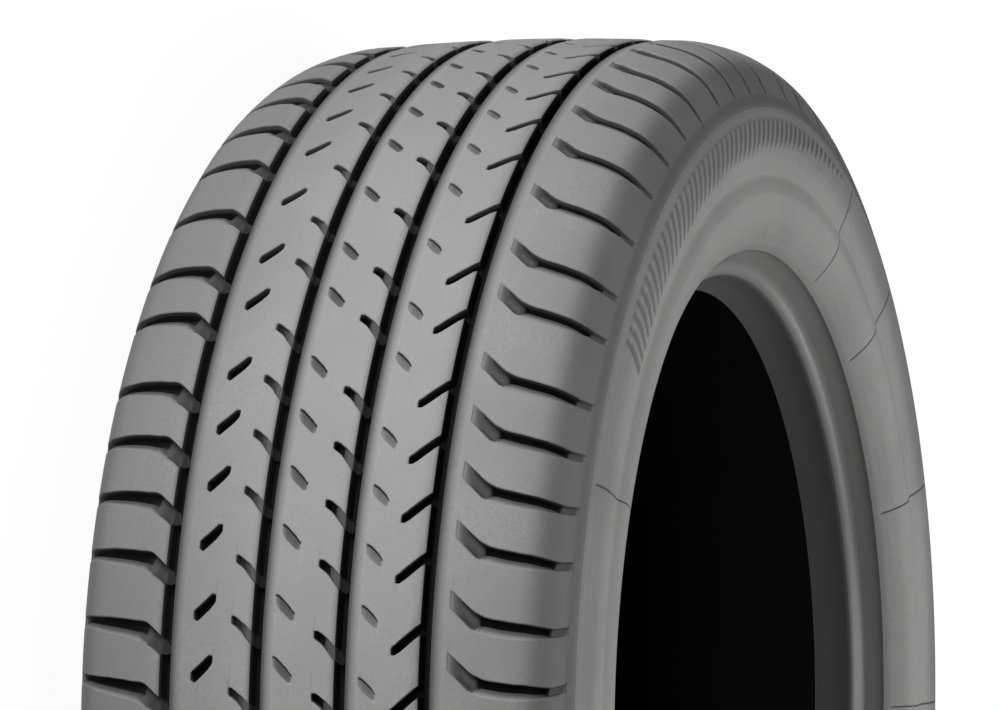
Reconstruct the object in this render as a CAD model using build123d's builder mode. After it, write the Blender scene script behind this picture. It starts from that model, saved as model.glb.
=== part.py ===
"""A passenger car tyre without its wheel, of the size 205/55 R16, lying on one sidewall.

The tyre is one moulded piece. Its section is turned round the Z axis, with four grooves in the tread,
and the lateral grooves are cut into both shoulders, pitch by pitch. The origin is the tyre's centre,
and +Z is the outer sidewall's side.
"""

import os
from itertools import accumulate
from math import cos, degrees, radians, sin

from build123d import *

# Driving dimensions of the section, in millimetres and degrees
outer_diameter = 632.0
section_width = 230.0
crown_arc_radius = 1020.0
crown_thickness = 17.0
shoulder_radius = 42.0
shoulder_sweep = 57.5
shoulder_chords = 2
buttress_height = 18.0
buttress_flare = 6.3
sidewall_thickness = 11.0
liner_bevel_height = 12.0
liner_bevel_width = 13.0

# Driving dimensions of the bead, which seats on the rim of a wheel
bead_seat_diameter = 405.6
bead_seat_length = 13.0
heel_spacing = 183.0
flange_height = 13.6
flange_flare = 11.0
rim_protector_height = 19.0
bead_height = 40.0

# Driving dimensions of the tread, with the places along the axis of its four grooves
groove_places = (-60.0, -17.9, 20.3, 57.6)
groove_width = 7.0
groove_depth = 8.0
lateral_groove_width = 3.6

# Each pitch of the tread is short, middle or long, and the run of pitches repeats round the tyre
pitch_angles = {"S": 4.75, "M": 5.5, "L": 6.58}
pitch_run = "SMSSSLSLLMM"
first_pitch = -95.4

# Radii and half widths that follow from them
outer_radius = outer_diameter / 2
half_width = section_width / 2
seat_radius = bead_seat_diameter / 2
flange_radius = seat_radius + flange_height
half_heel = heel_spacing / 2
liner_radius = outer_radius - crown_thickness
liner_half_width = half_width - sidewall_thickness
liner_edge = liner_half_width - liner_bevel_width
shoulder_end = half_width - buttress_flare
tread_edge = shoulder_end - shoulder_radius * sin(radians(shoulder_sweep))


def crown_radius(axial):
    """Radius of the tread's crown at a place along the axis."""
    return outer_radius - axial**2 / (2 * crown_arc_radius)


def shoulder_point(turn):
    """Point of the shoulder arc, as (radius, axial), a turn in degrees on from the tread's edge."""
    drop = shoulder_radius * (1 - cos(radians(turn)))
    return crown_radius(tread_edge) - drop, tread_edge + shoulder_radius * sin(radians(turn))


# The tread's outline from edge to edge: each rib is turned as a cylinder, with a V groove between two
rib_middles = [(low + high) / 2 for low, high in zip(groove_places, groove_places[1:])]
rib_radii = [crown_radius(place) for place in (tread_edge, *rib_middles, tread_edge)]
tread_outline = [(rib_radii[0], -tread_edge)]
for place, rib_below, rib_above in zip(groove_places, rib_radii, rib_radii[1:]):
    tread_outline += [
        (rib_below, place - groove_width / 2),
        (crown_radius(place) - groove_depth, place),
        (rib_above, place + groove_width / 2),
    ]
tread_outline.append((rib_radii[-1], tread_edge))

# One side of the section, from the tread's edge round the bead to the inner liner. The shoulder's arc
# is drawn with straight chords, so that its turned faces are cones.
chord_turns = [shoulder_sweep * step / shoulder_chords for step in range(shoulder_chords + 1)]
shoulder = [shoulder_point(turn) for turn in chord_turns]
side_outline = shoulder + [
    (shoulder[-1][0] - buttress_height, half_width),
    (flange_radius + rim_protector_height, half_width),
    (flange_radius, half_heel + flange_flare),
    (seat_radius, half_heel),
    (seat_radius, half_heel - bead_seat_length),
    (seat_radius + bead_height, liner_half_width),
    (liner_radius - liner_bevel_height, liner_half_width),
    (liner_radius, liner_edge),
]

# Where the pitches lie round the axis: whole runs fill the circle, and the pitches share out each run
run_steps = list(accumulate(pitch_angles[size] for size in pitch_run))
run_count = round(360 / run_steps[-1])
run_angle = 360 / run_count
pitch_turns = [
    Location((0, 0, 0), (0, 0, first_pitch - run * run_angle - step * run_angle / run_steps[-1]))
    for run in range(run_count)
    for step in [0] + run_steps[:-1]
]

# The two lateral grooves of one pitch, each straight across its shoulder from end to end of the arc
with BuildPart() as lateral_grooves:
    with BuildSketch(Plane.XZ):
        Polygon(shoulder[0], shoulder[-1], (outer_radius, shoulder_end), align=None)
        mirror(about=Plane.XZ)
    revolve(axis=Axis.Z, revolution_arc=degrees(lateral_groove_width / outer_radius))

with BuildPart() as tyre:
    with BuildSketch(Plane.XZ):
        with BuildLine():
            Polyline(*side_outline)
            mirror(about=Plane.XZ)
            Polyline(*tread_outline)
            Line((liner_radius, -liner_edge), (liner_radius, liner_edge))
        make_face()
    revolve(axis=Axis.Z)
    with Locations(*pitch_turns):
        add(lateral_grooves.part, mode=Mode.SUBTRACT)
tyre.part.label = "tyre"

os.makedirs("parts", exist_ok=True)
export_step(tyre.part, "parts/tyre.step")
print("tyre volume", round(tyre.part.volume), "valid", tyre.part.is_valid)
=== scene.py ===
# %% [markdown]
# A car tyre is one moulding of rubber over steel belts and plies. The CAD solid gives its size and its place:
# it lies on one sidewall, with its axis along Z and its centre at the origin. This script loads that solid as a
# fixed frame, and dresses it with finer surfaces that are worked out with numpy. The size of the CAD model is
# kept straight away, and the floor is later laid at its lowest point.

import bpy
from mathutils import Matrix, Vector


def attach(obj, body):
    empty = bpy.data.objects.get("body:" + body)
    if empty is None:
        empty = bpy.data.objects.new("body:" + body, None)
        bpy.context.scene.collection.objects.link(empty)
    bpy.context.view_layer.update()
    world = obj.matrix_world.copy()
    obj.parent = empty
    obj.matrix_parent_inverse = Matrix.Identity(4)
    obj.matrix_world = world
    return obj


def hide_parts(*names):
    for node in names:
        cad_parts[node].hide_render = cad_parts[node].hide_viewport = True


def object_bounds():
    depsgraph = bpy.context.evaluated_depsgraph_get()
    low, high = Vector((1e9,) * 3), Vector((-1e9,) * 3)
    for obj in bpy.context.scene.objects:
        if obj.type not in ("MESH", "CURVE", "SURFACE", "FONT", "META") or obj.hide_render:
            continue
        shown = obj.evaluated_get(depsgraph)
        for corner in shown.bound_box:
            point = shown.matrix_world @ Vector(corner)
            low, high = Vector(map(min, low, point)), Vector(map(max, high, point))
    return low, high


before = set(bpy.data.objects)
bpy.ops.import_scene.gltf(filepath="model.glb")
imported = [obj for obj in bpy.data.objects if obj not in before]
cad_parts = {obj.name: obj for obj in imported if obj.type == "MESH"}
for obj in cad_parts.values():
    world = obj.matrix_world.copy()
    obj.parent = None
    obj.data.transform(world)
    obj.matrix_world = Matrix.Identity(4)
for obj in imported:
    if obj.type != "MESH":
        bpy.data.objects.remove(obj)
cad_box = [list(corner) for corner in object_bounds()]

from math import radians

import bpy
import numpy as np
from mathutils import Matrix, Vector

print("CAD box in metres", cad_box)

# %% [markdown]
# The photograph was taken with a long lens, from a little above the tread's middle, and it shows the tyre
# upright with its outer sidewall on the right. Here the tyre lies down, so the camera is rolled by a quarter
# turn instead: up in the picture is -X, and right in the picture is nearly +Z. A camera could be turned with
# Euler angles, but three square vectors are easier to check, so they become the columns of its matrix.

# %% Camera at the photograph's viewing angle
camera_place = Vector((-0.15843, -2.41407, 0.85724))
camera_aim = Vector((-0.16671, -0.06534, 0.00086))
picture_up = Vector((-0.99999, -0.00224, 0.00352))
sensor_width = 36.0
focal_length = 194.87
view_depth = 50.0


def new_object(name, data):
    """An object at the origin that holds some data, linked to the scene."""
    made = bpy.data.objects.new(name, data)
    bpy.context.scene.collection.objects.link(made)
    return made


camera_back = (camera_place - camera_aim).normalized()
camera_right = picture_up.cross(camera_back).normalized()
camera_up = camera_back.cross(camera_right)
camera_turn = Matrix((camera_right, camera_up, camera_back)).transposed()

camera_data = bpy.data.cameras.new("photo_camera")
camera_data.sensor_width = sensor_width
camera_data.lens = focal_length
camera_data.clip_end = view_depth
camera = new_object("photo_camera", camera_data)
camera.matrix_world = Matrix.Translation(camera_place) @ camera_turn.to_4x4()
bpy.context.scene.camera = camera
print("camera looks along", [round(part, 4) for part in -camera_back])

# %% [markdown]
# Every part of a tyre is a ring: a section that is carried once round the axis. A Screw or Spin modifier could
# turn a plain section, but the tread changes all the way round, and then a grid of points is simpler than
# cutting. Its columns run round the axis and its rows run round the section. A point is known by its turn, its
# place along the axis and its distance from the axis, and one helper turns these into metres.

# %% Points round the axis
MM = 0.001


def around(turn, axial, radius):
    """Points in metres from a turn in degrees and places in millimetres. The turn starts at -Y, which faces the
    camera, and runs towards -X: x is minus radius times sine, y is minus radius times cosine, z is axial."""
    angle = np.radians(turn)
    return np.stack([-radius * np.sin(angle), -radius * np.cos(angle), axial + 0 * angle], axis=-1) * MM


print("a turn of 90 degrees points along", around(90.0, 0.0, 1 / MM).round(3))

# %% [markdown]
# For the export, a material is baked into a picture, and each ring needs a UV map for that. A ring that is
# rolled out is very long and narrow, so it is cut into a few strips that lie above each other, with a thin
# margin between them. Blender could unwrap the mesh, but a grid already knows where each of its quads belongs.

# %% UV map in strips
strip_margin = 0.004


def laid_out(lengths, columns, rows, strips):
    """UV of each quad's four corners: u is the share of its strip that is passed, and v is the share of the
    section's length that is passed, so that steep walls keep their width."""
    per_strip = -(-columns // strips)
    column, row = np.meshgrid(np.arange(columns), np.arange(rows), indexing="ij")
    strip, step = column // per_strip, column % per_strip
    passed = np.concatenate([[0.0], np.cumsum(lengths)]) / lengths.sum()
    inset = strip_margin + (1 - 2 * strip_margin) * passed
    corners = [(step, row), (step, row + 1), (step + 1, row + 1), (step + 1, row)]
    corner_uv = [np.stack([s / per_strip, (strip + inset[r]) / strips], axis=-1) for s, r in corners]
    return np.stack(corner_uv, axis=2)


# %% [markdown]
# In the mesh, the grid's last column joins its first and its last row joins its first, so there is no open edge
# and no pole. Faces could be added one by one, but foreach_set fills the mesh's own arrays at once, which is
# far quicker. Edges that bend by more than an angle stay crisp, and all the rest is shaded smooth.

# %% Ring from a grid of points
sharp_angle = 26.0


def ring_piece(name, points, materials, finish, strips=3):
    """Mesh object from points[column, row]. Each quad joins a point, its neighbour in the next row, the same
    in the next column and back, and the last row and column join the first. finish gives each row's slot."""
    columns, rows = points.shape[:2]
    index = np.arange(columns * rows).reshape(columns, rows)
    beyond = np.roll(index, -1, axis=0)
    quads = np.stack([index, np.roll(index, -1, 1), np.roll(beyond, -1, 1), beyond], axis=-1).reshape(-1, 4)
    mesh = bpy.data.meshes.new(name)
    mesh.vertices.add(columns * rows)
    mesh.vertices.foreach_set("co", points.astype(np.float32).ravel())
    mesh.loops.add(quads.size)
    mesh.loops.foreach_set("vertex_index", quads.astype(np.int32).ravel())
    mesh.polygons.add(len(quads))
    mesh.polygons.foreach_set("loop_start", np.arange(0, quads.size, 4, dtype=np.int32))
    mesh.update(calc_edges=True)
    for material in materials:
        mesh.materials.append(material)
    mesh.polygons.foreach_set("material_index", np.tile(finish, columns).astype(np.int32))
    mesh.polygons.foreach_set("use_smooth", np.ones(len(quads), dtype=bool))
    lengths = np.linalg.norm(np.roll(points, -1, axis=1) - points, axis=2).mean(axis=0)
    layer = mesh.uv_layers.new(name="OFBake")
    layer.uv.foreach_set("vector", laid_out(lengths, columns, rows, strips).astype(np.float32).ravel())
    mesh.set_sharp_from_angle(angle=radians(sharp_angle))
    print(name, "has", columns, "columns,", rows, "rows and", 2 * len(quads), "triangles")
    return new_object(name, mesh)


# %% [markdown]
# Outlines are drawn through a few measured points, as pairs of a place along the axis and a radius. A Bezier
# curve would need handles beside each point. A Catmull-Rom curve only needs the points and passes through all
# of them, so it is easy to compare with the photograph. The tyre's two sides have the same outline, so a
# second helper mirrors one, and a third gives the normals along which relief is raised or sunk.

# %% Outlines
def flowing(points, steps=8):
    """Catmull-Rom curve through points: each span is the cubic that leaves its first point along the chord of
    that point's neighbours and reaches its second point along the chord of the second one's neighbours."""
    given = np.asarray(points, float)
    padded = np.vstack([2 * given[0] - given[1], given, 2 * given[-1] - given[-2]])
    before, start, end, after = (padded[k : len(padded) - 3 + k, None] for k in range(4))
    t = np.arange(steps)[:, None] / steps
    curve = 0.5 * (
        2 * start
        + (end - before) * t
        + (2 * before - 5 * start + 4 * end - after) * t**2
        + (3 * start - before - 3 * end + after) * t**3
    )
    return np.vstack([curve.reshape(-1, 2), given[-1:]])


def mirrored(points):
    """An outline's mirror image on the tyre's other side, in the opposite order."""
    return np.asarray(points)[::-1] * (-1, 1)


def normals(slopes):
    """Outward normals of an outline, which are its slopes after a quarter turn."""
    return np.stack([-slopes[:, 1], slopes[:, 0]], axis=-1)


# %% [markdown]
# Shader maths reads best as Python. A small class wraps one socket of a node tree: adding or multiplying two
# of them adds a Math node, and its method `node` adds any other node, with its settings first and then the
# values or links of its sockets. Without it, each line of maths would take three or four lines of linking.

# %% A socket that takes part in expressions
class Wire:
    """One output socket in a material's node tree."""

    def __init__(self, tree, socket=None):
        self.tree, self.socket = tree, socket

    def node(self, kind, settings=(), inputs=(), output=0):
        """Adds a node of a kind, sets it, fills or links its inputs by name or number, and gives an output."""
        made = self.tree.nodes.new("ShaderNode" + kind)
        for name, value in dict(settings).items():
            setattr(made, name, value)
        for key, value in dict(inputs).items():
            if isinstance(value, Wire):
                self.tree.links.new(value.socket, made.inputs[key])
            else:
                made.inputs[key].default_value = value
        return Wire(self.tree, made.outputs[output])

    def maths(self, operation, first, second=0.0):
        """A Math node on two numbers or wires."""
        return self.node("Math", {"operation": operation}, {0: first, 1: second})

    def __add__(self, other):
        return self.maths("ADD", self, other)

    def __sub__(self, other):
        return self.maths("SUBTRACT", self, other)

    def __rsub__(self, other):
        return self.maths("SUBTRACT", other, self)

    def __mul__(self, other):
        return self.maths("MULTIPLY", self, other)

    __radd__ = __add__
    __rmul__ = __mul__

    def noise(self, size, detail, roughness=0.55):
        """Noise from 0 to 1 over the place of a point, with blotches of about this size in metres."""
        look = {"Scale": 1 / size, "Detail": detail, "Roughness": roughness}
        return self.node("TexNoise", {}, {"Vector": self.node("TexCoord", output="Object"), **look})

    def between(self, low, high):
        """A value that climbs smoothly from 0 to 1 while this one goes from low to high."""
        ends = {"Value": self, "From Min": low, "From Max": high}
        return self.node("MapRange", {"interpolation_type": "SMOOTHSTEP"}, ends)

    def blend(self, first, second):
        """The first colour where this value is 0 and the second where it is 1."""
        first, second = (part if isinstance(part, Wire) else (*part, 1.0) for part in (first, second))
        return self.node("Mix", {"data_type": "RGBA"}, {0: self, 6: first, 7: second}, output=2)


# %% [markdown]
# All the rubber of the tyre is one kind of finish in other greys. Its colour and its roughness vary over the
# surface, a very fine bump is the grain that the mould leaves, and its gloss is weak. These helpers hold what
# the rubbers share, so that each of them only says what is its own.

# %% What all the rubber shares
rubber_shine = 0.35


def grey(level, warmth=0.0):
    """A colour of this brightness, a little warm or cold."""
    return (level * (1 + warmth), level, level * (1 - warmth))


def new_rubber(name):
    """A new material, and a wire to start its expressions from."""
    material = bpy.data.materials.new(name)
    material.use_nodes = True
    return material, Wire(material.node_tree)


def dress(material, colour, roughness, grain, grain_depth, shine=rubber_shine):
    """Gives a material its colour, its roughness, a bump of the grain with a depth in metres, and its shine."""
    shader = material.node_tree.nodes["Principled BSDF"]
    bump = grain.node("Bump", {}, {"Strength": 1.0, "Distance": grain_depth, "Height": grain})
    for key, value in {"Base Color": colour, "Roughness": roughness, "Normal": bump}.items():
        material.node_tree.links.new(value.socket, shader.inputs[key])
    shader.inputs["Specular IOR Level"].default_value = shine
    print(material.name, "has", len(material.node_tree.nodes), "nodes")


# %% [markdown]
# The tread's rubber is matt and mid grey on the faces of the ribs, with a fine grain from the mould and a few
# soft blotches. The middle ribs are painted paler, which is a painted highlight, and the innermost rib is
# painted darker, which is painted shade. The shoulders are smoother, and painted darker as shade, for the dark
# band that the light leaves there. A faint dark ring of painted shade lies in the crease at the edge ring,
# where the tread meets the sidewall. In the grooves and slots the rubber is painted darker the deeper it lies,
# which is painted shade. All this could be several materials, but their borders would be hard. Here one
# material has masks that fade: they read the height along Z, and a depth that each vertex carries in an
# attribute, because it is known when the tread is worked out.

# %% Masks of the tread's rubber
depth_name = "groove_depth"
tread_rubber, wire = new_rubber("tread_rubber")
blotches = wire.noise(size=0.045, detail=4.0)
grain = wire.noise(size=0.0011, detail=2.0, roughness=0.7)
blotched = blotches.between(0.3, 0.7)
grained = grain.between(0.35, 0.75)

# Heights along the axis, in metres
axial = wire.node("SeparateXYZ", {}, {0: wire.node("TexCoord", output="Object")}, output="Z")
height = wire.maths("ABSOLUTE", axial)
# Painted highlight on the middle ribs, and painted shade on the innermost rib
middle_rib_highlight = axial.between(-0.060, -0.015) * axial.between(0.060, 0.048)
inner_rib_shade = axial.between(-0.058, -0.074)
# Painted shade: the shoulders are painted darker, for the dark band that the light leaves there
shoulders = height.between(0.094, 0.105)
# Painted shade in the crease at the edge ring, where the tread meets the sidewall
seam_shade = height.between(0.1098, 0.1107) * height.between(0.1122, 0.1115)

# Depths below the skin, in millimetres
depth = wire.node("Attribute", {"attribute_name": depth_name}, output="Fac")
# Masks of the painted shade that deepens with the depth in grooves and slots
shallow = depth.between(0.25, 1.2)
deep = depth.between(1.6, 3.4)
print("the tread's masks take", len(wire.tree.nodes), "nodes")

# %% Tread rubber
rib_greys = grey(0.285), grey(0.325, 0.004)
shoulder_shade_greys = grey(0.135), grey(0.155, 0.004)
grain_grey, highlight_grey, inner_shade_grey = grey(0.27), grey(0.5), grey(0.1)
seam_shade_grey = slot_shade_grey = grey(0.07)
groove_shade_grey = grey(0.005)
highlight_share, inner_shade_share, seam_shade_share = 0.25, 0.2, 0.4
rib_roughness, blotch_rougher, shoulder_smoother, floor_rougher = 0.62, 0.12, 0.1, 0.3
tread_grain_depth = 0.00012

colour = grained.blend(blotched.blend(*rib_greys), grain_grey)
# Painted highlight on the middle ribs, then painted shade on the innermost one
colour = (highlight_share * middle_rib_highlight).blend(colour, highlight_grey)
colour = (inner_shade_share * inner_rib_shade).blend(colour, inner_shade_grey)
# Painted shade on the shoulders
colour = shoulders.blend(colour, blotched.blend(*shoulder_shade_greys))
# Painted shade as a thin dark ring at the edge ring
colour = (seam_shade_share * seam_shade).blend(colour, seam_shade_grey)
# Painted shade: darker the deeper the rubber lies in a groove or slot
colour = deep.blend(shallow.blend(colour, slot_shade_grey), groove_shade_grey)
roughness = rib_roughness + blotch_rougher * blotches - shoulder_smoother * shoulders + floor_rougher * deep
dress(tread_rubber, colour, roughness, grain, tread_grain_depth)

# %% [markdown]
# The sidewall is smoother, and a thin bloom of wax leaves it unevenly grey. Its mould was turned on a lathe, so
# the bloom is drawn out into faint rings. The wall is also painted lighter towards the rim, which is painted
# light: both follow the distance from the axis. Engraved lines and the valleys of the relief are painted
# darker, which is painted shade, by the same depth as on the tread. The bead's rubber is paler, which partly
# paints the highlight on its ridge. The seat, which grips the rim of the wheel, is a darker and harder rubber,
# and the liner is painted nearly black, partly its own dark rubber and partly painted shade inside the tyre.
# One function makes all four, because they only differ in their levels.

# %% Sidewall, bead, seat and liner rubber
ring_width = 0.004
rim_light_start, rim_light_full = 0.276, 0.250
patch_share, ring_share, rim_light_share = 0.5, 0.2, 0.3
grain_share, grain_shade = 0.45, 0.86
recess_full, recess_shade = 0.5, 0.4
bloom_rougher = 0.16
wall_grain_depth = 0.00006


def wall_rubber(name, level, worn_and_lit, smooth, shine=rubber_shine):
    """Rubber of a grey level, which lightens to the level worn_and_lit where bloom_and_rim_light is 1. smooth
    is its roughness where that is 0. bloom_and_rim_light is a sum of soft patches and rings of wax, and of
    painted light that grows towards the rim, each with its share."""
    material, wire = new_rubber(name)
    place = wire.node("TexCoord", output="Object")
    across = wire.node("VectorMath", {"operation": "MULTIPLY"}, {0: place, 1: (1.0, 1.0, 0.0)})
    radius = wire.node("VectorMath", {"operation": "LENGTH"}, {0: across}, output="Value")
    patches = wire.noise(size=0.07, detail=5.0, roughness=0.6)
    ring_look = {"W": radius, "Scale": 1 / ring_width, "Detail": 2.0}
    rings = wire.node("TexNoise", {"noise_dimensions": "1D"}, ring_look)
    # The rim's share is painted light, which lightens the wall towards the rim
    bloom_and_rim_light = patch_share * patches + ring_share * rings + rim_light_share * radius.between(rim_light_start, rim_light_full)
    grain = wire.noise(size=0.0009, detail=2.0, roughness=0.7)
    depth = wire.node("Attribute", {"attribute_name": depth_name}, output="Fac")
    colour = bloom_and_rim_light.between(0.25, 0.75).blend(grey(level), grey(worn_and_lit, 0.004))
    colour = (grain_share * grain.between(0.45, 0.8)).blend(colour, grey(grain_shade * level))
    # Painted shade in the engraved lines and the valleys of the relief
    colour = depth.between(0.0, recess_full).blend(colour, grey(recess_shade * level))
    dress(material, colour, smooth + bloom_rougher * bloom_and_rim_light, grain, wall_grain_depth, shine)
    return material


sidewall_rubber = wall_rubber("sidewall_rubber", level=0.205, worn_and_lit=0.37, smooth=0.5)
# Paler than the sidewall, which partly paints the highlight on the bead's ridge
bead_rubber = wall_rubber("bead_rubber", level=0.29, worn_and_lit=0.33, smooth=0.2)
seat_rubber = wall_rubber("seat_rubber", level=0.15, worn_and_lit=0.175, smooth=0.4)
# Nearly black: partly the liner's own dark rubber, partly painted shade inside the tyre
liner_rubber = wall_rubber("liner_rubber", level=0.003, worn_and_lit=0.007, smooth=0.6, shine=0.15)

# %% [markdown]
# The tread's skin is the outline that the ribs would have without any groove: a very flat arc over the crown,
# then a round shoulder down to the sharp ring where the sidewall begins. It is measured along its length, from
# the middle outwards, because that is how a tread pattern is drawn.

# %% Skin of the tread
crown_radius, crown_arc, crown_half = 316.0, 1022.0, 78.0
edge_ring = (112.5, 281.8)
shoulder = [(91.9, 309.0), (102.3, 302.2), (107.2, 295.0), (109.2, 289.9), (111.2, 285.8), edge_ring]
crown_places = np.linspace(-crown_half, crown_half, num=13)
crown = np.stack([crown_places, crown_radius - crown_places**2 / (2 * crown_arc)], axis=-1)
skin = flowing(np.vstack([mirrored(shoulder), crown, shoulder]))
skin_length = np.concatenate([[0.0], np.cumsum(np.linalg.norm(np.diff(skin, axis=0), axis=1))])
skin_length -= skin_length[-1] / 2
half_skin = skin_length[-1]
skin_out = normals(np.gradient(skin, skin_length, axis=0))
print("the skin is", round(2 * half_skin, 1), "mm from edge to edge")

# %% [markdown]
# Four grooves run round the tread. They could be cut with Booleans, as could the slots, but that is some six
# hundred cuts, which leave ragged faces. Here the grid itself carries them. All four grooves have one profile:
# a flat floor between steep walls, with a narrow chamfer on the inner sidewall's side and a wide one on the
# other. Where slots run into the first three grooves, low bars of rubber tie the ribs together. The fourth
# groove has none, so among the depths of the bars it has the depth of its floor.

# %% Grooves round the tread
groove_places = np.array([-60.0, -17.9, 20.3, 57.6])
groove_steps = np.array([-5.3, -4.2, -3.3, -2.5, -1.5, 0.6, 1.2, 1.7, 3.4, 5.0, 6.6, 8.0])
groove_drops = np.array([0.0, 0.5, 0.8, 7.0, 8.0, 8.0, 3.6, 1.25, 0.84, 0.6, 0.42, 0.0])
bar_depths = np.array([2.8, 3.4, 3.2, 8.0])
groove_lines = (groove_places[:, None] + groove_steps).ravel()
print(len(groove_places), "grooves,", groove_drops.max(), "mm deep")

# %% [markdown]
# Each pitch of the tread repeats the same short slots, notches and lateral grooves. One zigzag line runs across
# the tread and passes along all of them. A few columns of the grid keep close to that line, so each slot is a
# plain rectangle of the grid that only has to be sunk. The table gives a place across the tread, and how far up
# the turn the line is there, in millimetres. Two rows of slots keep time with a neighbouring pitch: the line
# climbs to the next one for the notches at -31 to -16, and drops to the one before for the slots at 27 to 36.

# %% Zigzag across the tread
zigzag = np.array([
    (-half_skin, 3.4), (-105, 2.1), (-99.5, 1.2), (-93.7, 0.3), (-90, -0.2), (-80, -1.7), (-76, -2.55),
    (-74, -2.8), (-72, -3.4), (-70, -4.35), (-68, -5.5), (-66, -7.05), (-64.2, -8.6), (-62, -10.3),
    (-58.3, -11.25), (-48.6, 3.8), (-46.4, 4.1), (-44, 6.2), (-40, 10.1), (-37.9, 11.3), (-31, 28.4),
    (-29, 27.6), (-27, 26.2), (-25, 24.4), (-23.2, 22.45), (-19.9, 18.8), (-16.2, 17.45), (-11.4, 11.8),
    (-3, 3.9), (-1.2, 3.2), (7, -3.8), (9, -4.4), (10.8, -5.55), (13, -7.5), (15, -9.6), (18.3, -13.3),
    (22, -14.5), (27.4, -22.55), (36.2, -30.35), (42, -10.4), (43.8, -9.75), (46, -8), (52.3, -2.5),
    (57.6, 2), (66.6, 12.3), (70, 9.25), (72, 7.5), (76, 3.9), (78, 2.8), (82, 1.35), (85, 0.75), (90, 0.1),
    (95, -0.3), (100, -0.3), (105, -0.3), (110, 0.1), (113.5, 0.3), (118, 1.4), (half_skin, 4.3),
])
print("the zigzag turns at", len(zigzag), "places")

# %% [markdown]
# Along the line, a slot has a width and a depth, and between two slots the depth is 0. The table gives a place
# across the tread, half the width along the turn, and the depth below the slot's upper wall, in millimetres. A
# slot that runs into a groove stops at the groove's middle.

# %% Slots along the zigzag
slots = np.array([
    (-122, 2.1, 0), (-118, 2.1, 1.5), (-113, 2.3, 6.5), (-99.5, 2.7, 6.5), (-90, 3.4, 6.5), (-80, 3.8, 6.5),
    (-76, 4, 6.5), (-74, 4.15, 6.5), (-72, 4.6, 6.5), (-71, 4.8, 6), (-69.5, 4.9, 3.2), (-68, 4.6, 2.8),
    (-66, 4.5, 2.8), (-63.3, 4.4, 2.8), (-60, 3.3, 2.6), (-59.9, 2, 0), (-48.6, 1.5, 0), (-48.2, 1.5, 0.3),
    (-47.6, 2.2, 6), (-46.4, 3.1, 6), (-40.4, 3.1, 6), (-39, 2.2, 6), (-38.3, 1.5, 0.3), (-37.9, 1.5, 0),
    (-31, 1.4, 0), (-30.6, 1.4, 0.3), (-29.8, 2, 3), (-27.5, 2.1, 2.8), (-25.6, 2.2, 2.1), (-23.6, 2.9, 1.05),
    (-21.2, 3, 1.1), (-17.9, 2.4, 1), (-17.8, 1.5, 0), (-11.4, 1.7, 0), (-11, 1.7, 0.3), (-10, 2.6, 2),
    (-8.4, 3, 2.6), (-3.8, 2.9, 2.6), (-2.2, 2, 2), (-1.6, 1.6, 0.3), (-1.2, 1.6, 0), (7, 1.5, 0),
    (7.4, 1.5, 0.3), (8, 1.8, 6), (9, 2.15, 6), (10.8, 2.3, 5), (12.2, 2.45, 2.2), (14.2, 3, 1.1),
    (17, 3.3, 1.4), (20.3, 2.8, 1.6), (20.4, 1.5, 0), (27.4, 1.6, 0), (27.8, 1.6, 0.3), (28.8, 2.3, 1.8),
    (30.5, 2.8, 2.2), (34, 2.7, 2.2), (35.2, 2, 1.8), (35.8, 1.5, 0.3), (36.2, 1.5, 0), (41.6, 1.5, 0),
    (42, 1.5, 0.3), (42.6, 1.9, 6), (43.8, 2.3, 6), (46, 2.65, 6), (57.6, 2.6, 6), (57.7, 1.6, 0),
    (66.6, 3.6, 0), (67, 3.7, 0.5), (68.5, 4.1, 0.95), (70, 4.1, 1.2), (72, 4.2, 2.6), (76, 4.3, 2.8),
    (78, 4, 2.9), (80, 3.8, 3.4), (82, 3.6, 6.5), (85, 3.5, 6.5), (90, 3.6, 6.5), (95, 3.45, 6.5),
    (100, 3.3, 6.5), (105, 2.8, 6.5), (110, 2.2, 6), (112.8, 2, 4.5), (113.6, 2, 1.4), (120, 1.9, 1),
    (122, 1.8, 0.3), (122.5, 1.8, 0),
])
print("a slot is up to", slots[:, 2].max(), "mm deep")

# %% [markdown]
# A slot's floor needn't be flat. In the lateral grooves and in two rows of slots it rises from the foot of the
# upper wall to the lower one, which leans back, so that such a slot is darkest under its upper wall, both in
# its own shade and in the painted shade that deepens with depth. The table gives a place across the tread, the
# share of the slot's depth that the floor has in the middle and at the foot of the lower wall, how far the
# lower wall leans, and how far up the middle is, in millimetres.

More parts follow.
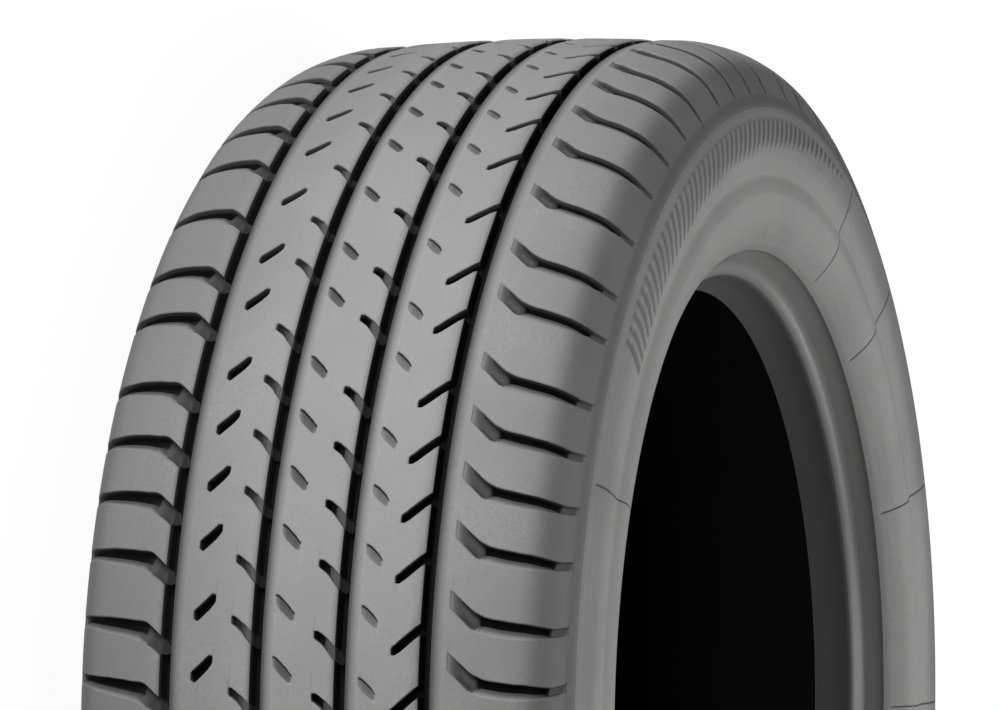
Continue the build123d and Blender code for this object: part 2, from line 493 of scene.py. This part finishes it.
# %% Floors of the slots
floors = np.array([
    (-118, 1, 1, 0.45, 0), (-112, 1, 0.28, 1.5, 0), (-90, 1, 0.24, 2.6, 0), (-80, 1, 0.22, 2.9, 0),
    (-74, 0.7, 0.2, 3, 0), (-72, 0.52, 0.2, 2.8, 0), (-70, 0.52, 0.27, 1.8, 0), (-68, 0.72, 0.8, 1, 0),
    (-66, 0.85, 0.85, 1.2, 0), (-60, 0.75, 0.85, 1.2, 0), (-59.9, 1, 1, 0.45, 0), (-11.4, 1, 1, 0.45, 0),
    (-10, 0.46, 0.37, 0.6, 1.4), (-8.4, 0.46, 0.37, 0.6, 1.7), (-3.8, 0.46, 0.37, 0.6, 1.6),
    (-2.2, 0.46, 0.37, 0.6, 0.9), (-1.2, 1, 1, 0.45, 0), (27.4, 1, 1, 0.45, 0), (28.8, 0.44, 0.37, 0.6, 1.1),
    (30.5, 0.44, 0.37, 0.6, 1.6), (34, 0.44, 0.37, 0.6, 1.5), (35.2, 0.44, 0.37, 0.6, 0.9),
    (36.2, 1, 1, 0.45, 0), (66.6, 1, 1, 0.45, 0), (70, 0.9, 0.85, 0.8, 0), (72, 0.5, 0.82, 1.4, 0),
    (74, 0.48, 0.86, 1.5, 0), (76, 0.5, 0.85, 1.5, 0), (78, 0.46, 0.72, 1.5, 0), (80, 0.8, 0.4, 2.4, 0),
    (82, 1, 0.2, 3.3, 0), (95, 1, 0.2, 3.2, 0), (100, 1, 0.21, 2.9, 0), (105, 1, 0.23, 2, 0),
    (112, 1, 0.4, 1, 0), (114, 1, 1, 0.45, 0),
])
print("a slot's lower wall leans by up to", floors[:, 3].max(), "mm")

# %% [markdown]
# The rows of the grid go where something changes: at the grooves' steps, at the zigzag's corners and at each
# place in the table of slots. Even rows would need to be far closer to hit them all. Places that nearly meet
# share a row, and the gaps that are left are filled with plain rows, so that the shoulders stay round.

# %% Rows of the tread
closest_rows, plain_spacing, plain_clearance = 0.15, 3.6, 1.5
pattern_rows = np.unique(np.round(np.concatenate([groove_lines, zigzag[:, 0], slots[:, 0]]), 2))
pattern_rows = pattern_rows[np.insert(np.diff(pattern_rows) > closest_rows, 0, True)]
plain_rows = np.arange(-half_skin, half_skin, plain_spacing)
plain_rows = plain_rows[np.abs(plain_rows[:, None] - pattern_rows).min(axis=1) > plain_clearance]
rows = np.sort(np.concatenate([pattern_rows, plain_rows]))
print(len(rows), "rows across the tread's skin")

# %% [markdown]
# Pitches of three lengths follow each other in a mixed order, so that the tyre doesn't hum on one note. The
# order repeats six times round the tyre, and the pitches share out the circle by their lengths.

# %% Pitches round the tread
pitch_angles = {"S": 4.75, "M": 5.5, "L": 6.58}
pitch_order = "SMSSSLSLLMM" * 6
first_pitch = 4.9
steps = np.array([pitch_angles[size] for size in pitch_order])
steps *= 360 / steps.sum()
starts = first_pitch + np.concatenate([[0.0], np.cumsum(steps)[:-1]])
print(len(starts), "pitches over", round(steps.sum(), 3), "degrees")

# %% [markdown]
# A pitch has nine columns. Seven lie along its slots: the lip, the edge and the foot of the lower wall, then
# the middle, then the foot, the edge and the lip of the upper wall. The other two share out the plain rubber up
# to the next pitch.

# %% Columns of the tread
plain_columns = 2
lip, upper_lean = 0.4, 0.45


def at_rows(table):
    """Each column of a table at every row of the tread, by straight lines between the places in its first."""
    return [np.interp(rows, table[:, 0], column) for column in table.T[1:]]


(line_turn,) = at_rows(zigzag)
half, slot_drop = at_rows(slots)
middle_share, lower_share, lower_lean, middle_rise = at_rows(floors)
offsets = np.stack([-half - lip, -half, lower_lean - half, middle_rise, half - upper_lean, half, half + lip])
slot_turns = starts[:, None, None] + np.degrees((line_turn + offsets) / crown_radius)
next_pitch = np.roll(slot_turns[:, 0], -1, axis=0)
next_pitch[-1] += 360.0
plain_share = np.arange(1, plain_columns + 1)[:, None] / (plain_columns + 1)
plain_turns = slot_turns[:, -1:] + plain_share * (next_pitch - slot_turns[:, -1])[:, None]
turns = np.concatenate([slot_turns, plain_turns], axis=1).reshape(-1, len(rows))
print(len(turns), "columns round the tread")

# %% [markdown]
# Each column and row now gets the depth of what it crosses. At a lip the skin isn't sunk, at an edge it is only
# eased, and between the feet lies the floor. A groove goes through all the columns, except that its bars stand
# between the feet of the slots. Where a slot meets a groove, the deeper one counts.

# %% Depth of the pattern
edge_ease = 0.3
floor_columns = slice(2, 5)
unsunk = np.zeros(len(rows))
edge_drop = np.minimum(slot_drop, edge_ease)
floor_drops = [lower_share * slot_drop, middle_share * slot_drop, slot_drop]
pitch_drop = np.stack([unsunk, edge_drop, *floor_drops, edge_drop] + [unsunk] * (1 + plain_columns))
groove_drop = np.interp(rows, groove_lines, np.tile(groove_drops, len(groove_places)))
nearest = np.abs(rows[:, None] - groove_places).argmin(axis=1)
with_bars = np.tile(groove_drop, (len(pitch_drop), 1))
with_bars[floor_columns] = np.minimum(groove_drop, bar_depths[nearest])
drops = np.tile(np.maximum(pitch_drop, with_bars), (len(starts), 1))
print("the pattern has", drops.size, "depths, up to", drops.max(), "mm")

# %% [markdown]
# Each point of the tread sits on the skin, sunk along the skin's normal by its depth. A displacement in the
# material could do that too, but the exported mesh would lose it. A plain underside closes the ring inside the
# tyre, where it isn't seen. The depths are kept on the vertices, for the painted shade in the colour.

# %% Tread
underside = np.array([(109.0, 281.5), (100.0, 291.5), (87.5, 302.5), (45.0, 303.0)])
underside = np.vstack([underside, mirrored(underside)])


def keep_depth(piece, depths):
    """Stores the depth of each point, in millimetres, where the piece's rubber reads it."""
    values = piece.data.attributes.new(depth_name, "FLOAT", "POINT").data
    values.foreach_set("value", depths.astype(np.float32).ravel())


skin_place, skin_normal = (
    np.stack([np.interp(rows, skin_length, part) for part in along.T], axis=-1) for along in (skin, skin_out)
)
under = np.broadcast_to(underside, (len(turns), *underside.shape))
section = np.concatenate([skin_place - drops[..., None] * skin_normal, under], axis=1)
under_share = np.linspace(0, 1, len(underside) + 2)[1:-1]
under_turns = turns[:, -1:] + under_share * (turns[:, :1] - turns[:, -1:])
tread_turns = np.concatenate([turns, under_turns], axis=1)
tread_points = around(tread_turns, section[..., 0], section[..., 1])
tread = ring_piece("tread", tread_points, [tread_rubber], np.zeros(section.shape[1]))
keep_depth(tread, np.concatenate([drops, np.zeros(under_turns.shape)], axis=1))

# %% [markdown]
# Below the edge ring the sidewall swells a little and drops to the rim protector, a blunt nose that keeps kerbs
# away from the wheel. From the nose it slopes in to the ledge where the wheel's flange ends, steps down to the
# flange, and passes a rounded ridge to the bead seat and its toe. Smooth stretches are curves, and they meet in
# sharp corners. Both sidewalls come from one outline, and the lower one is its mirror image.

# %% Section of a sidewall
toe = (73.3, 197.2)
wall_runs = [
    [edge_ring, (113.3, 278.4), (114.0, 273.5), (114.3, 266.5), (113.9, 259.0), (113.25, 253.2),
     (113.0, 250.2)],
    [(113.0, 250.2), (113.3, 248.4), (113.95, 246.0), (114.45, 243.8), (114.65, 241.8), (114.45, 238.8),
     (113.8, 235.2), (112.65, 231.0)],
    [(112.65, 231.0), (110.9, 227.0), (108.2, 221.8), (106.1, 218.3), (103.9, 215.6)],
    [(103.9, 215.6), (102.3, 215.1)],
    [(102.3, 215.1), (99.5, 213.5), (96.4, 211.3)],
    [(96.4, 211.3), (95.0, 210.2), (93.6, 208.6), (92.4, 206.7), (91.3, 205.2), (90.2, 204.2)],
    [(90.2, 204.2), (88.9, 203.4), (86.8, 202.8), (81.5, 201.0), toe],
]
wall_slot, bead_slot, seat_slot = 0, 1, 2
run_finish = (wall_slot, wall_slot, wall_slot, bead_slot, bead_slot, bead_slot, seat_slot)
run_steps = 3
run_rows = [run_steps * (len(run) - 1) for run in wall_runs]
wall = np.vstack([flowing(run, run_steps)[:-1] for run in wall_runs] + [[toe]])
wall_back = np.array([(77.5, 200.6), (86.0, 210.5), (104.5, 240.0), (107.5, 262.0), (109.0, 279.0)])
print(len(wall), "rows down the sidewall, of which", sum(run_rows[:3]), "are above the bead")

# %% [markdown]
# The outer sidewall carries low relief: two long bands of slanted ribs below the edge ring, half a turn apart,
# and a few thin engraved lines that divide the wall. Relief this low could be a bump in the material, but then
# it would be lost in the exported mesh, so the surface itself is raised. Each line gets three columns of the
# grid for itself, and the columns lie closer where there are ribs.

# %% Columns of the sidewall
band_sectors = ((38.0, 113.0), (218.0, 293.0))
sector_edge = 0.3
line_turns = np.array([24.2, 116.3, 133.6, 158.1, 182.4, 204.0, 304.0, 322.0, 341.0])
line_half, line_clearance = 0.13, 0.2
fine_step, coarse_step = 0.25, 0.75


def within(value, low, high, edge):
    """1 where a value lies between low and high, falling to 0 over an edge on both sides."""
    return np.clip((value - low) / edge + 0.5, 0, 1) * np.clip((high - value) / edge + 0.5, 0, 1)


def in_sectors(turn):
    """1 where a turn lies in the sector of a band, falling to 0 at its ends."""
    return sum(within(turn, start, end, sector_edge) for start, end in band_sectors)


fine_turns = np.arange(0, 360, fine_step)
even_turns = fine_turns[(in_sectors(fine_turns) > 0) | (fine_turns % coarse_step == 0)]
even_turns = even_turns[np.abs(even_turns[:, None] - line_turns).min(axis=1) > line_clearance]
line_columns = line_turns[:, None] + (-line_half, 0.0, line_half)
wall_turns = np.sort(np.concatenate([even_turns, line_columns.ravel()]))
print(len(wall_turns), "columns round the sidewall")

# %% [markdown]
# The rows follow the outline, with four more at the two edges of the band, so that these stay straight. The
# normals come from the rows' neighbours, and the relief is raised along them.

# %% Rows of the sidewall
band_low, band_high, band_edge = 253.5, 276.5, 1.2
band_rows = np.array([edge + side * band_edge / 2 for edge in (band_low, band_high) for side in (-1, 1)])
swell, below = np.split(wall, [run_rows[0]])
swell_radii = np.sort(np.concatenate([swell[:, 1], band_rows]))[::-1]
swell_places = np.interp(swell_radii, swell[::-1, 1], swell[::-1, 0])
wall_rows = np.vstack([np.stack([swell_places, swell_radii], axis=-1), below])
wall_radii = wall_rows[:, 1]
hidden_rows = 1 + len(wall_back)
wall_finish = np.repeat((wall_slot, *run_finish, seat_slot), (len(band_rows), *run_rows, hidden_rows))
wall_slope = np.gradient(wall_rows, axis=0)
wall_out = normals(wall_slope / np.linalg.norm(wall_slope, axis=1, keepdims=True))
print(len(wall_rows), "rows, with those at the band's edges")

# %% [markdown]
# The ribs and the lines are slanted, and not all by the same angle. If the columns of the grid lean as they do,
# the relief follows the grid and its edges stay clean. A table gives the lean at a few turns, in degrees to
# each millimetre of radius. It ends at the edge ring and at the bead, and beyond them the columns run straight.

# %% Lean of the columns
leans = np.array([
    (24, -0.04), (60, 0.07), (116, 0.074), (134, 0.043), (158, 0.036), (183, -0.01), (220, 0.0), (240, 0.07),
    (300, 0.07), (330, -0.03),
])
lean_low, lean_middle, lean_high = 216.0, 262.0, 282.0
lean_reach = np.clip(wall_radii, lean_low, lean_high) - lean_middle
column_lean = np.interp(wall_turns, *leans.T, period=360)[:, None] * lean_reach
print("columns lean by", column_lean.min().round(2), "to", column_lean.max().round(2), "degrees")

# %% [markdown]
# A rib and the valley beside it share a pitch, half each. A band gets narrower along its sector, from its lower
# edge, and a table says by how many millimetres at a few turns past the sector's start. A line is cut into one
# column only, from below the edge ring to above the bead, and the columns beside it are its two edges.

# %% Height of the relief
band_taper = np.array([(0, 0), (22, 2.5), (42, 7), (58, 11), (66, 15), (75, 21)])
rib_pitch, rib_height, valley_depth = 1.5, 0.6, 0.34
line_low, line_high, line_fade, line_depth = 219.0, 279.0, 2.0, 0.5

past_start = (wall_turns - band_sectors[0][0]) % 180
narrower = np.interp(past_start, *band_taper.T)[:, None]
in_band = within(wall_radii, band_low + narrower, band_high, band_edge) * in_sectors(wall_turns)[:, None]
on_rib = (np.round(wall_turns / rib_pitch % 1, 3) < 0.5)[:, None]
on_line = np.isin(wall_turns, line_turns)
engraved = np.outer(on_line * line_depth, within(wall_radii, line_low, line_high, line_fade))
raised = rib_height * in_band * on_rib - engraved
recess = engraved + valley_depth * in_band * ~on_rib
print(on_line.sum(), "engraved lines, and ribs up to", raised.max(), "mm high")

# %% [markdown]
# Both sidewalls are rings of the same outline, with a plain back inside the tyre. The lower one could be a
# Mirror modifier's copy of the upper one, but it has no relief: the tyre lies on it, and it is plain. So the
# same function makes both, and for the lower one it turns the order of the rows round, which keeps the faces
# outwards.

# %% Sidewalls
def sidewall(name, side, raised, recess):
    """A sidewall as a ring: its outline raised along its normal by raised[column, row], and its hidden back.
    side is 1 for the upper wall and -1 for the lower one. recess[column, row] is the depth for the painted
    shade in the colour."""
    front = wall_rows + raised[..., None] * wall_out
    back = np.broadcast_to(wall_back, (len(wall_turns), *wall_back.shape))
    plain = np.zeros(back.shape[:2])
    pairs = (front, back), (column_lean, plain), (recess, plain)
    section, lean, depths = (np.concatenate(pair, axis=1)[:, ::side] for pair in pairs)
    finish = wall_finish if side > 0 else np.roll(wall_finish[::-1], -1)
    points = around(wall_turns[:, None] + lean, side * section[..., 0], section[..., 1])
    piece = ring_piece(name, points, [sidewall_rubber, bead_rubber, seat_rubber], finish, strips=2)
    keep_depth(piece, depths)
    return piece


sidewall_outer = sidewall("sidewall_outer", 1, raised, recess)
sidewall_inner = sidewall("sidewall_inner", -1, 0 * raised, 0 * recess)

# %% [markdown]
# The inner liner is the airtight skin inside the tyre, from toe to toe. It is smooth and very dark, and it
# shows through the bore. It could be an open sheet, but a thin closed ring with its back hidden in the tyre's
# wall has no open edge. Half of its section is drawn, up to the middle, and mirrored.

# %% Inner liner
liner_half = flowing([
    toe, (84.0, 211.0), (98.0, 232.0), (103.6, 246.0), (104.2, 268.0), (102.0, 286.0), (91.0, 297.2),
    (74.0, 299.4), (37.0, 299.6), (0.0, 299.7),
], steps=4)
liner_back_half = np.array([
    (75.8, 199.6), (85.5, 209.0), (105.6, 245.0), (106.2, 270.0), (103.6, 288.0), (92.0, 300.0), (0.0, 301.6),
])
liner_inside, liner_back = (
    np.vstack([outline, mirrored(outline[:-1])]) for outline in (liner_half, liner_back_half)
)
liner_section = np.vstack([liner_inside, liner_back[::-1]])
liner_turns = np.arange(360.0)[:, None]
liner_points = around(liner_turns, liner_section[:, 0], liner_section[:, 1])
inner_liner = ring_piece("inner_liner", liner_points, [liner_rubber], np.zeros(len(liner_section)))

# %% [markdown]
# The four rings stand for the one CAD solid, which is hidden. Each rides on the tyre's only body.

# %% Join the rings to the frame
for piece in (tread, sidewall_outer, sidewall_inner, inner_liner):
    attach(piece, "root")
    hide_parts("tyre")

# %% [markdown]
# The stage is a wide pale floor that the tyre lies on. Seen straight by the camera it is nearly white, as the
# paper in a studio is, but it still takes the tyre's soft shadow. Brighter lamps would make it white too, but
# they would bleach the tyre. Light Path tells the camera's rays from the rest, so the bright floor throws no
# extra diffuse light on the tyre. It glows for glossy and transmission rays as well, so the tyre's gloss
# reflects a floor brighter than the lamps make it, which is a painted reflection.

# %% Floor
floor_height = cad_box[0][2]
floor_half = 4.0
floor_corners = [(-1, -1), (1, -1), (1, 1), (-1, 1)]
floor_points = [(floor_half * x, floor_half * y, floor_height) for x, y in floor_corners]
floor_mesh = bpy.data.meshes.new("studio_floor")
floor_mesh.from_pydata(floor_points, [], [(0, 1, 2, 3)])
floor = new_object("studio_floor", floor_mesh)
print("the floor is", 2 * floor_half, "m wide, at a height of", round(floor_height, 4), "m")

# %% Paper of the floor
paper_level, glow_strength, glow_share = 0.8, 1.15, 0.82
paper = bpy.data.materials.new("studio_paper")
paper.use_nodes = True
paper.node_tree.nodes.clear()
wire = Wire(paper.node_tree)
seen = wire.node("LightPath", output="Is Camera Ray")
glossy = wire.node("LightPath", output="Is Glossy Ray")
through = wire.node("LightPath", output="Is Transmission Ray")
# The glow also reaches glossy rays, which paints a brighter floor into the tyre's reflections
shown_bright = wire.maths("MAXIMUM", wire.maths("MAXIMUM", seen, glossy), through)
lit = wire.node("BsdfDiffuse", {}, {"Color": (*grey(paper_level), 1.0)})
glow = wire.node("Emission", {}, {"Color": (*grey(1.0), 1.0), "Strength": glow_strength})
shown = wire.node("MixShader", {}, {0: glow_share * shown_bright, 1: lit, 2: glow})
surface = paper.node_tree.nodes.new("ShaderNodeOutputMaterial")
paper.node_tree.links.new(shown.socket, surface.inputs["Surface"])
floor_mesh.materials.append(paper)
print("the paper has", len(paper.node_tree.nodes), "nodes")

# %% [markdown]
# Three softboxes light the tyre. The key is a strip that stands on the floor in front, at the left of the
# picture, and lights the ribs. Two large ones hang above and behind, and light the sidewall, which leaves a
# darker band on the shoulder between them. A very weak world fills the shadows. A brighter world would be
# simpler than three lamps, but it would take the shading off the tread.

# %% Light
fill_strength = 0.01


def softbox(name, place, aim, width, height, power):
    """An area lamp of a width and a height at a place, turned to face an aim, and hidden from the camera."""
    data = bpy.data.lights.new(name, "AREA")
    data.shape, data.size, data.size_y, data.energy = "RECTANGLE", width, height, power
    lamp = new_object(name, data)
    facing = (Vector(aim) - Vector(place)).to_track_quat("-Z", "Y")
    lamp.matrix_world = Matrix.Translation(Vector(place)) @ facing.to_matrix().to_4x4()
    lamp.visible_camera = False
    print(name, "shines with", power, "W")


softbox("key_strip", (-0.8, -1.037, -0.01), aim=(0.0, 0.0, -0.03), width=1.2, height=0.14, power=9.6)
softbox("back_softbox", (0.6, 2.8, 3.1), aim=(0.0, 0.0, 0.1), width=2.2, height=2.2, power=72.0)
softbox("top_softbox", (0.0, 0.2, 3.6), aim=(0.0, 0.0, 0.1), width=1.8, height=1.8, power=42.0)
world = bpy.data.worlds.new("studio_world")
bpy.context.scene.world = world
world.use_nodes = True
background = world.node_tree.nodes["Background"]
background.inputs["Color"].default_value = (*grey(1.0), 1.0)
background.inputs["Strength"].default_value = fill_strength
bpy.context.scene.view_settings.view_transform = "Standard"
